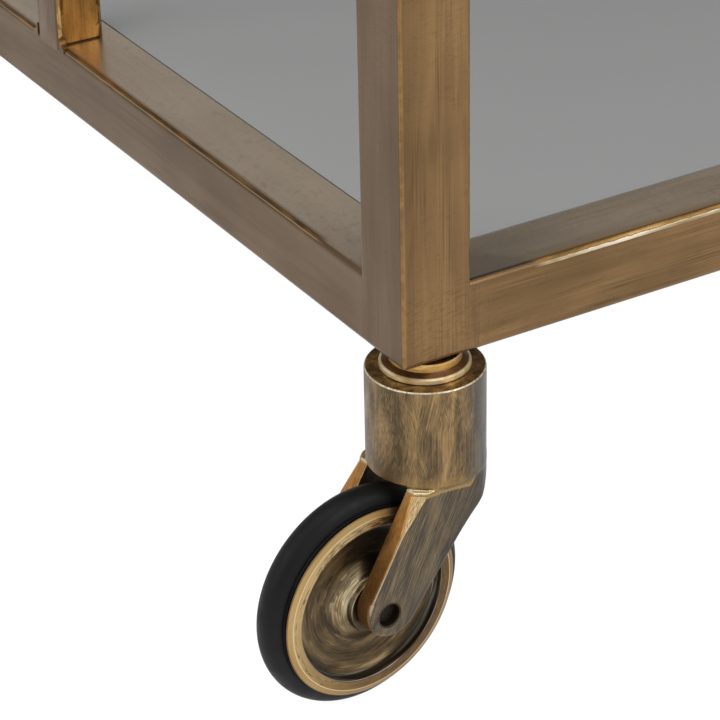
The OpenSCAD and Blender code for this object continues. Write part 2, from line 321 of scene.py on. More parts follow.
def arm_field(x, y, z):
    """One pair of arms: an outline seen from the side, cut to a slab and to a rod that bends back."""
    side = np.abs(y)
    depth = np.maximum(HOUSING_FOOT - z, 0)

    # the outline: a round end on the axle, and straight front and rear edges that meet it
    dx, dz = x - END_X, z - END_Z
    reach = np.array([END_X - ARM_FRONT, END_Z - ARM_SHOULDER])
    front_angle = math.atan2(reach[1], reach[0]) + math.asin(ARM_END / np.linalg.norm(reach))
    front = dx * -math.sin(front_angle) + dz * math.cos(front_angle)
    rear = dx * -math.sin(REAR_SLOPE) + dz * -math.cos(REAR_SLOPE)
    past_front = dx * math.cos(front_angle) + dz * math.sin(front_angle)
    past_rear = dx * math.cos(REAR_SLOPE) - dz * math.sin(REAR_SLOPE)
    tip = (past_front > 0) & (past_rear > 0)
    back_edge = np.where(tip, np.hypot(dx, dz), rear) - ARM_END
    back_edge = back_edge - ELBOW_SWELL * np.exp(-((depth - ELBOW_DEPTH) / ELBOW_REACH) ** 2)
    front_edge = np.where(tip, -ARM_END, front - ARM_END)

    # the rod: as wide as the housing, and bent back towards the axle below the elbow
    bent = np.maximum(depth - BEND_DEPTH, 0)
    lean = np.where(bent < BEND_LENGTH, BEND_RATE * bent**2, BEND_LEAN + BEND_SLOPE * (bent - BEND_LENGTH))
    slope = np.minimum(2 * BEND_RATE * bent, BEND_SLOPE)
    behind = np.minimum((x - lean) / np.sqrt(1 + slope**2), 0)
    rod = np.hypot(behind, side) - HOUSING

    # the cuts: outer faces, rod, front edge, the strip filed along its corner, and inner faces
    outer = side - ARM_OUT
    body = both(back_edge, outer, 0.5 + 1.1 * fade(depth, 4, 16))
    body = both(body, rod, 0.8)
    filed = np.maximum(3.8 - 0.24 * depth, 0.35) - 0.9 * (1 - fade(depth, 1.5, 2.1))
    strip = (front_edge + outer + filed) / math.sqrt(2)
    body = both(both(body, front_edge, 0.4), strip, 0.5)
    body = both(body, ARM_IN - side, 0.4)
    in_housing = np.maximum(np.hypot(x, y) - HOUSING, z - (HOUSING_FOOT + 3))
    return either(both(body, in_housing, 0.1), both(body, z - LEDGE, 0.35), 0.2)


def fork_field(x, y, z):
    """Housing, arms and the shoulder between them, less the holes, in a caster's own frame and in mm."""
    around = np.hypot(x, y)
    housing = both(both(around - HOUSING, z - HOUSING_TOP, 0.7), HOUSING_FOOT - z, 0.5)
    shoulder = np.maximum(around - HOUSING + np.maximum(HOUSING_FOOT - z, 0) * 0.8, ARM_IN - np.abs(y))
    shoulder = np.maximum(shoulder, np.maximum(ARM_SHOULDER - z, z - HOUSING_FOOT - 2))
    shoulder = np.maximum(shoulder, x - ARM_FRONT)
    solid = either(either(housing, arm_field(x, y, z), 0.4), shoulder, 0.3)
    hole = np.hypot(x - TRAIL, z + DROP) - AXLE_HOLE
    groove = np.maximum(np.abs(around - GROOVE) - GROOVE_HALF, GROOVE_FLOOR - z)
    pocket = np.maximum(around - POCKET, z - POCKET_TOP)
    for cut in (hole, groove, pocket, around - STEM_HOLE):
        solid = both(solid, -cut, 0.35)
    return solid


def surface_net(field, low, high, step):
    """Turns a field into vertices and quads: one vertex in each cell that the surface crosses."""
    axes = [np.arange(a, b + step, step) for a, b in zip(low, high)]
    x, y, z = np.meshgrid(*axes, indexing="ij", sparse=True)
    value = field(x, y, z).astype(np.float32)
    inside = value < 0
    cells = tuple(n - 1 for n in value.shape)
    total, hits = np.zeros(cells + (3,), np.float32), np.zeros(cells, np.float32)
    quads = []
    for axis in range(3):
        start = [slice(None)] * 3
        start[axis] = slice(0, -1)
        end = [slice(None)] * 3
        end[axis] = slice(1, None)
        a, b = value[tuple(start)], value[tuple(end)]
        at = np.argwhere(inside[tuple(start)] != inside[tuple(end)])
        share = a[tuple(at.T)] / (a[tuple(at.T)] - b[tuple(at.T)])
        point = at.astype(np.float32)
        point[:, axis] += share
        one, two = [(axis + 1) % 3, (axis + 2) % 3]
        around = []
        for u, v in ((0, 0), (-1, 0), (-1, -1), (0, -1)):
            cell = at.copy()
            cell[:, one] += u
            cell[:, two] += v
            around.append(cell)
            np.add.at(total, tuple(cell.T), point)
            np.add.at(hits, tuple(cell.T), 1)
        ids = np.stack([np.ravel_multi_index(tuple(c.T), cells) for c in around], 1)
        flip = inside[tuple(start)][tuple(at.T)]
        ids[~flip] = ids[~flip][:, ::-1]
        quads.append(ids)
    used = np.flatnonzero(hits.ravel())
    number = np.full(hits.size, -1)
    number[used] = np.arange(len(used))
    points = total.reshape(-1, 3)[used] / hits.ravel()[used][:, None] * step + np.array(low)
    return points, number[np.vstack(quads)]


def fork_mesh():
    """The fork with smooth normals from its field, and how sharply it bulges as the attribute "edge"."""
    step, margin = 0.5, 1.0
    low = (-HOUSING - margin, -HOUSING - margin, END_Z - ARM_END - margin)
    high = (END_X + ARM_END + margin, HOUSING + margin, HOUSING_TOP + margin)
    points, quads = surface_net(fork_field, low, high, step)
    x, y, z = points.T

    def field_at(offset):
        return fork_field(x + offset[0], y + offset[1], z + offset[2])

    small, reach = 0.15, 0.9
    slope = np.stack([field_at(offset) - field_at(-offset) for offset in np.eye(3) * small], 1)
    normal = slope / np.linalg.norm(slope, axis=1)[:, None]
    near = [field_at(offset) for sign in (-1, 1) for offset in np.eye(3) * sign * reach]
    bulge = np.mean(near, 0) - fork_field(x, y, z)
    mesh = bpy.data.meshes.new("fork")
    mesh.from_pydata((points * MM).tolist(), [], quads.tolist())
    mesh.attributes.new("edge", "FLOAT", "POINT").data.foreach_set("value", bulge / reach)
    mesh.polygons.foreach_set("use_smooth", [True] * len(mesh.polygons))
    mesh.update()
    mesh.normals_split_custom_set_from_vertices(normal.tolist())
    return mesh


# ---- wheel and tyre outlines ----

# Radii, and half widths from the wheel's middle plane.

BORE = 6.0
HUB, HUB_HALF = 9.5, 9.4
WEB_HALF = 2.7
DISH = 28.0
LIP, LIP_HALF = 29.1, 8.5
BEVEL, BEVEL_HALF = 32.1, 8.3
RIM, RIM_HALF = 34.2, 7.5
CHANNEL, CHANNEL_HALF = 31.0, 6.65
TYRE_WIDTH = 11.2


def wheel_mesh():
    """Hub, dished web, bevelled rim and the channel that the tyre sits in."""
    half = rounded([
        (BORE, 0.0, 0), (BORE, HUB_HALF, 0.3), (HUB, HUB_HALF, 0.3), (9.9, 7.2, 1.5), (15.6, 3.6, 5.0),
        (DISH, WEB_HALF, 4.6), (28.5, 8.2, 0.2), (LIP, LIP_HALF, 0.25), (BEVEL, BEVEL_HALF, 0.4),
        (RIM, RIM_HALF, 0.3), (RIM, CHANNEL_HALF, 0.2), (CHANNEL, CHANNEL_HALF, 0.3), (CHANNEL, 0.0, 0),
    ])
    return lathe("wheel", mirrored(half[:-1])[::-1])


def tyre_mesh():
    """A half-round crown on a band that fills the wheel's channel."""
    half = TYRE_WIDTH / 2
    middle = TYRE_RADIUS - half
    angles = np.linspace(0, math.acos(0.6 / half), 18)
    crown = [(middle + half * math.cos(a), half * math.sin(a)) for a in angles]
    band = CHANNEL_HALF - 0.05
    shoulder = [(RIM + 0.15, half - 0.05), (RIM + 0.1, band), (CHANNEL + 0.05, band)]
    return lathe("tyre", mirrored((crown + shoulder)[::-1])[::-1])


# ---- finishes ----

TUBE = POST_HIGH[0] - POST_LOW[0]
HALF_LENGTH, HALF_DEPTH = -POST_LOW[0], -POST_LOW[1]
INNER_X, INNER_Y = HALF_LENGTH - TUBE, HALF_DEPTH - TUBE


def frame_brass():
    """One finish for posts and rails, so that it runs on across their welded joints.

    The brushing follows each tube, and the long sides, the ends and the tops are painted in lighter and
    darker tones, as light and sheen fall on them."""
    made = Material("frame_brass", roughness=0.4, metallic=0.9)
    place = made.place()
    x, y, z = made.split(place)
    ax, ay = made.size(x), made.size(y)
    nx, ny, nz = made.normal()
    fx, fy, fz = made.size(nx), made.size(ny), made.size(nz)
    times, less, between = made.times, made.less, made.between

    # which tube a point is on: at_end on the end rails, at_side on the side rails, and both on a post
    at_end = between(ax, (INNER_X - 14) * MM, (INNER_X + 6) * MM)
    at_side = between(ay, (INNER_Y - 14) * MM, (INNER_Y + 6) * MM)
    weight = (times(less(at_end), at_side), times(at_end, less(at_side)), times(at_end, at_side))

    def along_tube(across, along, **settings):
        total = 0.0
        for axis in range(3):
            sizes = [across] * 3
            sizes[axis] = along
            total = made.add(total, times(weight[axis], made.grain(place, sizes, **settings)))
        return total

    off_rail = 1.0
    for level in ("bottom_rail_front", "top_rail_front"):
        low, high = box_mm(level)
        above = made.size(made.minus(z, (low[2] + high[2]) / 2 * MM))
        off_rail = times(off_rail, between(above, (TUBE / 2 - 1.2) * MM, (TUBE / 2 + 0.3) * MM))
    on_post = between(made.add(ax, ay), (INNER_X + INNER_Y - 6) * MM, (INNER_X + INNER_Y + 2) * MM)

    # the noises, and the two tones made from them
    hair = along_tube(0.45, 60, detail=2.0, rough=0.6)
    smear = along_tube(9, 90, detail=2.0, warp=0.7, shift=8)
    patch = along_tube(6, 40, detail=2.0, warp=0.8, shift=21)
    smudge = made.grain(place, (6, 6, 6), detail=5.0, rough=0.65, warp=0.8, shift=4)
    cloud = made.grain(place, (50, 50, 50), detail=2.0, shift=6)
    rough_patch = between(patch, 0.48, 0.66, 0.12, 1.0)
    streak = times(made.minus(hair, 0.5), rough_patch, 0.7)
    tone = made.add(made.plus((smear, 0.4), (cloud, 0.35)), streak)
    calm = made.plus((smear, 0.3), (cloud, 0.4), (hair, 0.08))

    # painted light and shade: the long sides, the ends and the tops in lighter and darker tones, as light
    # and sheen fall on them; the tops also darker towards the posts
    side_face = made.ramp(tone, [
        (0.3, rgb(86, 67, 45)), (0.41, rgb(108, 84, 55)), (0.5, rgb(122, 95, 63)), (0.62, rgb(138, 108, 71)),
    ])
    end_face = made.ramp(calm, [(0.35, rgb(86, 68, 49)), (0.5, rgb(97, 77, 55)), (0.65, rgb(108, 88, 65))])
    side_top = made.ramp(tone, [
        (0.32, rgb(112, 98, 78)), (0.5, rgb(138, 122, 100)), (0.64, rgb(152, 134, 110)),
    ])
    end_top = made.ramp(calm, [
        (0.35, rgb(146, 130, 110)), (0.5, rgb(158, 141, 120)), (0.65, rgb(168, 151, 130)),
    ])
    side_near_post = between(ax, (INNER_X - 70) * MM, (INNER_X - 4) * MM, 0.0, 0.62)
    side_top = made.mix(side_near_post, side_top, rgb(82, 70, 54))
    end_near_post = between(ay, (INNER_Y - 60) * MM, (INNER_Y - 4) * MM, 0.0, 0.5)
    end_top = made.mix(end_near_post, end_top, rgb(118, 104, 86))
    faces_end = between(made.minus(fx, fy), -0.2, 0.2)
    colour = made.mix(faces_end, side_face, end_face)
    colour = made.mix(between(fz, 0.85, 0.97), colour, made.mix(at_side, end_top, side_top))

    # scuffs by the joints, and painted shade as a dark line down the posts' inner edges
    scuff = made.grain(place, (3.0, 3.0, 0.5), tilt=(5, 7, 0), detail=4.0, rough=0.7, warp=0.7, shift=13)
    worn_area = between(made.add(smudge, times(cloud, 0.4)), 0.58, 0.86)
    by_joint = times(at_end, at_side, less(off_rail), less(faces_end))
    scuffed_area = made.math("MAXIMUM", times(worn_area, 0.3), times(by_joint, 0.42))
    colour = made.mix(times(between(scuff, 0.5, 0.6), scuffed_area, 0.75), colour, rgb(62, 50, 37))
    # painted shade: a dark line down each post's inner edge
    inner_edge = made.minus(ax, INNER_X * MM)
    dark_edge = times(between(inner_edge, 1.5 * MM, 0.5 * MM, 0.0, 0.75), on_post, off_rail, less(faces_end))
    colour = made.mix(dark_edge, colour, rgb(58, 47, 35))

    # the rails' rounded lips in bands of painted highlight and shade, and painted shadow as golden-brown
    # bands along their tops
    rail = less(on_post)
    on_lip = times(between(nz, 0.06, 0.16), between(nz, 0.995, 0.97), rail)
    outer_side = between(ay, (HALF_DEPTH - 6) * MM, (HALF_DEPTH - 4) * MM)
    outer_end = between(ax, (HALF_LENGTH - 6) * MM, (HALF_LENGTH - 4) * MM)
    uneven = along_tube(3, 26, detail=3.0, warp=0.5, shift=31)
    height = made.add(nz, made.times(made.minus(smudge, 0.5), 0.35))
    # painted highlight: silver along the side rails' lips, with a painted dark line and gold above it
    silver = made.ramp(uneven, [
        (0.36, rgb(150, 128, 92)), (0.5, rgb(196, 180, 150)), (0.62, rgb(226, 214, 194)),
    ])
    gold = made.ramp(uneven, [(0.36, rgb(116, 86, 46)), (0.5, rgb(150, 114, 62)), (0.66, rgb(186, 148, 92))])
    side_lip = made.mix(between(height, 0.46, 0.6), silver, rgb(92, 74, 48))
    side_lip = made.mix(between(height, 0.6, 0.72), side_lip, gold)
    side_lip = made.mix(between(height, 0.0, 0.22), colour, side_lip)
    # painted shade: dark brown along the end rails' lips, with a thin painted highlight in it
    brown = made.ramp(uneven, [(0.4, rgb(70, 52, 30)), (0.5, rgb(104, 78, 44)), (0.64, rgb(132, 98, 54))])
    thread = times(between(nz, 0.5, 0.6), between(nz, 0.72, 0.64))
    brown = made.mix(times(thread, 0.7), brown, rgb(176, 150, 118))
    end_lip = made.mix(between(height, 0.3, 0.5), colour, brown)
    # painted highlight along the inner lips
    inner_lip = made.mix(0.6, colour, rgb(168, 148, 112))
    lip = made.mix(outer_end, made.mix(outer_side, inner_lip, side_lip), end_lip)
    colour = made.mix(on_lip, colour, lip)
    # painted shadow: soft golden-brown bands on the tops just behind the lips
    up = times(between(nz, 0.9, 0.99), rail)
    from_side = made.minus(HALF_DEPTH * MM, ay)
    from_end = made.minus(HALF_LENGTH * MM, ax)
    taper = between(ax, (INNER_X - 45) * MM, INNER_X * MM, 1.0, 0.15)
    side_band = times(between(from_side, 2.4 * MM, 5.8 * MM, 0.8, 0.0), up, taper)
    colour = made.mix(side_band, colour, rgb(124, 92, 46))
    end_band = times(between(from_end, 2.2 * MM, 3.6 * MM, 0.6, 0.0), up)
    colour = made.mix(end_band, colour, rgb(96, 70, 40))

    # corners lighter: worn back to bare brass, with a painted highlight along their roundings
    corner = times(between(fx, 0.2, 0.42), between(fy, 0.2, 0.42), between(fz, 0.3, 0.1))
    broken = between(made.add(smudge, times(hair, 0.3)), 0.5, 0.8, 0.3, 0.85)
    colour = made.mix(times(corner, broken), colour, rgb(152, 117, 72))
    made.set("Base Color", colour)
    rough = between(tone, 0.36, 0.62, 0.46, 0.36)
    made.set("Roughness", made.minus(rough, times(between(nz, 0.9, 0.99), 0.16)))
    made.bump(hair, 0.012, 0.3)
    return made


def divider_brass():
    """Gold inside with dark patina towards the corners, and the frame's tone on the outer face."""
    made = Material("divider_brass", roughness=0.3, metallic=0.95)
    times, between = made.times, made.between
    place = made.place()
    x, _, z = made.split(place)
    facing_end = made.size(made.normal()[0])
    low, high = box_mm("divider_left")
    width = high[0] - low[0]
    hair = made.grain(place, (0.5, 0.5, 36), detail=3.0, rough=0.6)
    blot = made.grain(place, (2.6, 2.6, 6), detail=5.0, rough=0.72, warp=0.8, shift=3)
    cloud = made.grain(place, (10, 10, 24), detail=2.0, shift=5)
    tone = made.plus((hair, 0.25), (blot, 0.3), (cloud, 0.5))
    gold = made.ramp(tone, [(0.36, rgb(142, 102, 54)), (0.5, rgb(180, 134, 74)), (0.64, rgb(202, 158, 98))])
    depth = made.minus(HALF_LENGTH * MM, made.size(x))
    to_corner = made.math("MINIMUM", depth, made.minus(width * MM, depth))
    patina = made.add(between(to_corner, 1.5 * MM, 5 * MM, 0.22, 0.0), blot)
    gold = made.mix(between(patina, 0.6, 0.74, 0.0, 0.8), gold, rgb(76, 56, 30))
    outer = made.ramp(tone, [(0.36, rgb(86, 68, 49)), (0.5, rgb(97, 77, 55)), (0.64, rgb(108, 88, 65))])
    colour = made.mix(between(facing_end, 0.7, 0.9), gold, outer)
    corner = times(between(facing_end, 0.25, 0.4), between(facing_end, 0.9, 0.75))
    colour = made.mix(times(corner, between(blot, 0.42, 0.54, 0.9, 0.25)), colour, rgb(184, 148, 96))
    at_foot = between(z, (low[2] + 2.7) * MM, (low[2] + 3.2) * MM, 0.9, 0.0)
    seam = times(at_foot, between(facing_end, 0.3, 0.1), between(depth, 2.6 * MM, 3.2 * MM))
    colour = made.mix(seam, colour, rgb(20, 16, 12))
    made.set("Base Color", colour)
    made.set("Roughness", between(tone, 0.4, 0.62, 0.42, 0.28))
    made.bump(blot, 0.02, 0.3)
    return made


def ledge_brass():
    """Plain aged brass, brushed along the ledges."""
    made = Material("ledges", roughness=0.42, metallic=0.9)
    place = made.place()
    hair = made.grain(place, (45, 0.45, 0.45), detail=4.0, rough=0.7)
    cloud = made.grain(place, (14, 14, 14), detail=3.0, warp=0.4, shift=7)
    tone = made.add(made.times(hair, 0.5), made.times(cloud, 0.5))
    brown = made.ramp(tone, [(0.35, rgb(70, 56, 40)), (0.5, rgb(96, 78, 54)), (0.65, rgb(118, 96, 66))])
    made.set("Base Color", brown)
    made.set("Roughness", made.between(tone, 0.35, 0.65, 0.5, 0.36))
    made.bump(hair, 0.02, 0.35)
    return made


def dress_frame():
    brass, gold, ledges = frame_brass(), divider_brass(), ledge_brass()
    for end, side in CORNERS:
        dress(corner_name(end, side) + "_post", brass)
    for level in ("bottom_rail", "top_rail", "gallery_rail"):
        for side in ("front", "rear", "left", "right"):
            dress(f"{level}_{side}", brass)
    dress("post_caps", brass)
    for end in ("left", "right"):
        dress(f"divider_{end}", gold)
    for shelf in ("bottom", "top"):
        dress(f"{shelf}_ledges", ledges)


def dress_shelves():
    """Even grey glass on small clear pads."""
    glass = Material("grey_glass", roughness=0.32, Specular_IOR_Level=0.12)
    place = glass.place()
    cloud = glass.grain(place, (240, 240, 240), detail=2.0)
    speck = glass.grain(place, (1.2, 1.2, 1.2), detail=2.0)
    tone = glass.add(glass.times(cloud, 0.7), glass.times(speck, 0.3))
    glass.set("Base Color", glass.ramp(tone, [(0.2, rgb(144, 144, 144)), (0.8, rgb(151, 151, 151))]))
    glass.set("Roughness", glass.between(speck, 0.3, 0.7, 0.3, 0.38))
    for shelf in ("bottom", "top"):
        dress(f"{shelf}_glass", glass)
    pad = Material("clear_pad", roughness=0.4)
    haze = pad.grain(pad.place(), (2, 2, 2))
    pad.set("Base Color", pad.ramp(haze, [(0.3, rgb(208, 208, 204)), (0.7, rgb(226, 226, 222))]))
    dress("glass_pads", pad)


def stem_brass():
    """Bright brass with a thin haze on it."""
    made = Material("bright_brass", roughness=0.3, metallic=1.0)
    haze = made.grain(made.place(), (5, 5, 1.2), detail=4.0)
    bright = [(0.25, rgb(150, 112, 58)), (0.55, rgb(206, 168, 100)), (0.8, rgb(232, 202, 140))]
    made.set("Base Color", made.ramp(haze, bright))
    made.set("Roughness", made.between(haze, 0.3, 0.7, 0.4, 0.25))
    made.bump(haze, 0.03, 0.3)
    return made


def washer_brass():
    """Smoked brass, with a painted highlight along its lower edge."""
    made = Material("washer_brass", roughness=0.34, metallic=0.6)
    place = made.place()
    level = made.minus(made.split(place)[2], (RAIL_Z - 4.6) * MM)
    smoke = made.grain(place, (4, 4, 4), detail=4.0, warp=0.5)
    dark = made.ramp(smoke, [(0.3, rgb(66, 44, 22)), (0.7, rgb(120, 80, 40))])
    light = made.ramp(smoke, [(0.3, rgb(206, 170, 104)), (0.7, rgb(254, 240, 202))])
    # painted highlight: the lower edge lighter
    made.set("Base Color", made.mix(made.between(level, 0.5 * MM, 0.25 * MM), dark, light))
    made.set("Roughness", made.between(smoke, 0.3, 0.7, 0.42, 0.26))
    return made


def plain_metal(name, roughness, metallic, grain_mm, dark, light, uneven=True):
    """Metal with a fine even grain between two colours."""
    made = Material(name, roughness=roughness, metallic=metallic)
    grain = made.grain(made.place(), [grain_mm] * 3, detail=4.0)
    made.set("Base Color", made.ramp(grain, [(0.3, dark), (0.7, light)]))
    if uneven:
        made.set("Roughness", made.between(grain, 0.3, 0.7, roughness + 0.1, roughness - 0.05))
    return made


def dress_small_parts():
    steel = plain_metal("plain_steel", 0.35, 1.0, 0.8, rgb(118, 116, 112), rgb(156, 154, 150))
    # the axles' dark colour is painted shade, for the shade deep in the arms' holes
    shaded_axle_steel = plain_metal("dark_axle_steel", 0.55, 0.8, 0.9, rgb(34, 29, 23), rgb(58, 49, 38))
    bronze = plain_metal("bronze", 0.4, 1.0, 1.0, rgb(140, 100, 54), rgb(178, 134, 78), uneven=False)
    dress("caster_stems", stem_brass())
    dress("stem_washers", washer_brass())
    for node in ("stem_inserts", "stem_nuts", "bearing_balls"):
        dress(node, steel)
    for end, side in CORNERS:
        name = corner_name(end, side)
        dress(f"{name}_axle", shaded_axle_steel)
        dress(f"{name}_axle_washers", steel)
        for piece in ("swivel_bush", "wheel_bush"):
            dress(f"{name}_{piece}", bronze)


def fork_material():
    """Rubbed with short strokes round the housing and along the arms, with bright worn edges, painted shade
    and painted highlights.
    """
    made = Material("caster_brass", roughness=0.4, metallic=0.85)
    place = made.place()
    x, y, z = made.split(place)
    nx, ny, nz = made.normal()
    times, between, less = made.times, made.between, made.less
    lean = 90 - math.degrees(math.atan2(ARM_SHOULDER - END_Z, END_X - ARM_FRONT + 6))
    arm_tilt = (0, lean, 0)

    # the noises: strokes in three directions, each in its own patches, and what lies over them
    fine = {"detail": 2.0, "rough": 0.6, "warp": 0.1}
    upright = made.grain(place, (0.36, 0.36, 36), **fine)
    fan_left = made.grain(place, (0.36, 0.36, 28), tilt=(7, 10, 0), shift=5, **fine)
    fan_right = made.grain(place, (0.36, 0.36, 28), tilt=(-9, -13, 0), shift=15, **fine)
    left_patch = made.grain(place, (13, 13, 22), detail=1.0, warp=0.6, shift=9)
    right_patch = made.grain(place, (10, 10, 18), detail=1.0, warp=0.6, shift=29)
    cloud = made.grain(place, (5, 5, 20), tilt=(3, 5, 0), detail=3.0, warp=0.4, shift=9)
    flake = made.grain(place, (1.0, 1.0, 3.5), tilt=(-6, -9, 0), detail=4.0, rough=0.7, warp=0.5, shift=3)
    score = made.grain(place, (0.3, 0.3, 9), tilt=(5, 8, 0), detail=3.0, rough=0.65, warp=0.25, shift=51)
    along_arm = made.grain(place, (0.34, 0.34, 30), arm_tilt, detail=3.0, rough=0.65, warp=0.1, shift=2)
    arm_cloud = made.grain(place, (5, 5, 16), arm_tilt, detail=3.0, warp=0.4, shift=12)
    scratch = made.grain(place, (0.22, 0.22, 11), tilt=(0, lean + 9, 0), detail=2.0, warp=0.1, shift=41)

    def blend(amount, first, second):
        return made.add(times(less(amount), first), times(amount, second))

    strokes = blend(between(left_patch, 0.44, 0.52), upright, fan_left)
    strokes = blend(between(right_patch, 0.52, 0.58), strokes, fan_right)
    rubbed = made.plus((strokes, 0.42), (cloud, 0.45), (flake, 0.15))

    # the housing: painted shade makes it darker and greyer round one side, with painted light beside it;
    # scored; paler towards its foot away from the shaded side; and a painted highlight on its top rim
    sideways = made.add(times(x, SHADED_SIDE[0] / (HOUSING * MM)), times(y, SHADED_SIDE[1] / (HOUSING * MM)))
    shade = between(sideways, -0.1, -0.6, 0.0, 0.045)
    shade = made.add(shade, between(sideways, -0.75, -0.97, 0.0, 0.03))
    lit = times(between(sideways, 0.05, 0.25, 0.0, 0.035), between(sideways, 0.6, 0.4))
    housing = made.ramp(made.add(made.minus(rubbed, shade), lit), [
        (0.38, rgb(86, 72, 53)), (0.45, rgb(108, 89, 63)),
        (0.53, rgb(133, 109, 75)), (0.64, rgb(162, 133, 90)),
    ])
    scored = times(between(score, 0.53, 0.6), between(cloud, 0.6, 0.44, 0.25, 0.85))
    housing = made.mix(times(scored, 0.75), housing, rgb(66, 55, 41))
    # painted shade: the side away from the light greyed
    housing = made.mix(between(sideways, 0.5, 0.92, 0.0, 0.85), housing, rgb(72, 72, 70))
    uneven_z = made.add(z, times(strokes, 16 * MM))
    foot = between(uneven_z, (HOUSING_FOOT + 7.4) * MM, (HOUSING_FOOT + 12.4) * MM, 0.65, 0.0)
    housing = made.mix(times(foot, between(sideways, 0.75, 0.4)), housing, rgb(146, 116, 70))
    lid = made.ramp(cloud, [(0.4, rgb(92, 68, 38)), (0.5, rgb(128, 98, 56)), (0.6, rgb(164, 130, 80))])
    housing = made.mix(between(nz, 0.9, 0.98), housing, lid)
    # painted highlight along the top rim
    rim = times(between(nz, 0.2, 0.5), between(nz, 0.98, 0.9))
    housing = made.mix(times(rim, between(flake, 0.4, 0.55, 0.35, 0.8)), housing, rgb(230, 218, 192))

    # the arms: brushed and scratched along, and painted shade makes them dark towards the rear edge
    arm_tone = made.plus((along_arm, 0.75), (arm_cloud, 0.5), (flake, 0.15))
    arm = made.ramp(arm_tone, [
        (0.36, rgb(62, 56, 49)), (0.45, rgb(80, 71, 60)), (0.54, rgb(98, 86, 68)), (0.68, rgb(126, 108, 80)),
    ])
    arm = made.mix(times(between(scratch, 0.62, 0.68), 0.6), arm, rgb(158, 142, 112))
    across = made.minus(x, TRAIL * MM)
    down = made.add(z, DROP * MM)
    to_axle = made.math("SQRT", made.add(times(across, across), times(down, down)))
    behind = made.add(times(across, -math.sin(REAR_SLOPE)), times(down, -math.cos(REAR_SLOPE)))
    # painted shade towards the rear edge
    arm = made.mix(between(behind, 5 * MM, 10 * MM, 0.0, 0.6), arm, rgb(66, 64, 62))

    # a wedge under the housing's foot painted paler as a highlight, and painted shade on the side beyond it
    edge_near, edge_far = (HOUSING_FOOT - 2.6) * MM, (HOUSING_FOOT - 4.6) * MM
    wedge_edge = between(sideways, 0.2, 0.72, edge_near, edge_far, smooth=False)
    uneven_z = made.add(z, times(along_arm, 2 * MM))
    above = made.minus(uneven_z, made.add(wedge_edge, 1.0 * MM))
    above = made.minus(above, between(sideways, 0.7, 0.86, 0.0, 5 * MM, smooth=False))
    # painted highlight: the paler wedge
    wedge = between(above, -0.4 * MM, 0.3 * MM)
    wedge_tone = made.mix(between(above, 1.5 * MM, 0.2 * MM), rgb(140, 112, 70), rgb(170, 140, 92))
    arm = made.mix(times(wedge, 0.8), arm, wedge_tone)
    above_elbow = between(z, (HOUSING_FOOT - 12.6) * MM, edge_far)
    # painted shade beyond the wedge, round the shaded side
    beyond = times(between(sideways, 0.7, 0.86), less(wedge), above_elbow)
    arm = made.mix(times(beyond, 0.6), arm, rgb(62, 62, 64))
    below = between(z, (LEDGE - 1.4) * MM, (LEDGE - 0.3) * MM, 1.0, 0.0)
    colour = made.mix(below, housing, arm)

    # the arms' front edges, and a painted highlight on the strip filed along each outer corner
    outward = made.size(ny)
    front = times(below, between(outward, 0.62, 0.42), between(nx, 0.3, 0.5))
    low = between(z, -(DROP + 4) * MM, (HOUSING_FOOT - 8.6) * MM)
    front_tone = made.plus((arm_cloud, 0.5), (flake, 0.4))
    front_colour = made.ramp(front_tone, [
        (0.36, rgb(124, 86, 44)), (0.5, rgb(166, 118, 62)), (0.64, rgb(192, 144, 84)),
    ])
    front_colour = made.mix(times(less(low), 0.55), front_colour, rgb(66, 48, 28))
    colour = made.mix(front, colour, front_colour)
    # painted highlight on the filed strip, duller lower down
    slant = made.add(times(nx, 0.61), made.add(times(outward, 0.707), times(nz, 0.36)))
    facet = times(between(slant, 0.93, 0.975), below)
    facet_colour = made.ramp(along_arm, [
        (0.36, rgb(160, 128, 82)), (0.5, rgb(214, 182, 130)), (0.62, rgb(240, 218, 174)),
    ])
    duller = between(z, (HOUSING_FOOT - 8.6) * MM, (HOUSING_FOOT - 16.6) * MM)
    facet_colour = made.mix(duller, facet_colour, rgb(190, 180, 158))
    facet = times(facet, between(z, -DROP * MM, (9 - DROP) * MM, 0.1, 1.0))
    colour = made.mix(facet, colour, facet_colour)

    # worn edges, painted shade in the hollows, a painted highlight on the ledge on the arms' tops, and
    # painted shade in the axle hole
    bulge = made.attribute("edge")
    uneven_bulge = made.add(bulge, times(made.minus(cloud, 0.5), 0.3))
    worn = between(uneven_bulge, 0.24, 0.44, 0.0, 0.6)
    worn = times(worn, less(times(below, between(behind, 4 * MM, 8 * MM, 0.0, 0.8))))
    colour = made.mix(worn, colour, rgb(190, 158, 108))
    # painted shade in the hollows and creases
    hollow = between(bulge, -0.05, -0.3, 0.0, 0.35)
    colour = made.mix(hollow, colour, rgb(60, 46, 32))
    # painted highlight on the ledge at the arms' tops, dimmer round the shaded side
    ledge = times(between(nz, 0.7, 0.85), between(z, (LEDGE - 0.6) * MM, (LEDGE - 0.3) * MM),
                  between(z, (LEDGE + 0.5) * MM, (LEDGE + 0.3) * MM))
    colour = made.mix(times(ledge, between(sideways, -0.9, -0.6, 0.15, 1.0)), colour, rgb(250, 232, 186))
    # painted shade inside the axle hole
    in_hole = between(to_axle, (AXLE_HOLE + 0.9) * MM, (AXLE_HOLE + 0.5) * MM, 0.0, 0.85)
    colour = made.mix(in_hole, colour, rgb(46, 39, 31))
    made.set("Base Color", colour)
    made.set("Roughness", between(rubbed, 0.36, 0.62, 0.5, 0.38))
    made.bump(blend(below, strokes, along_arm), 0.02, 0.3)
    return made


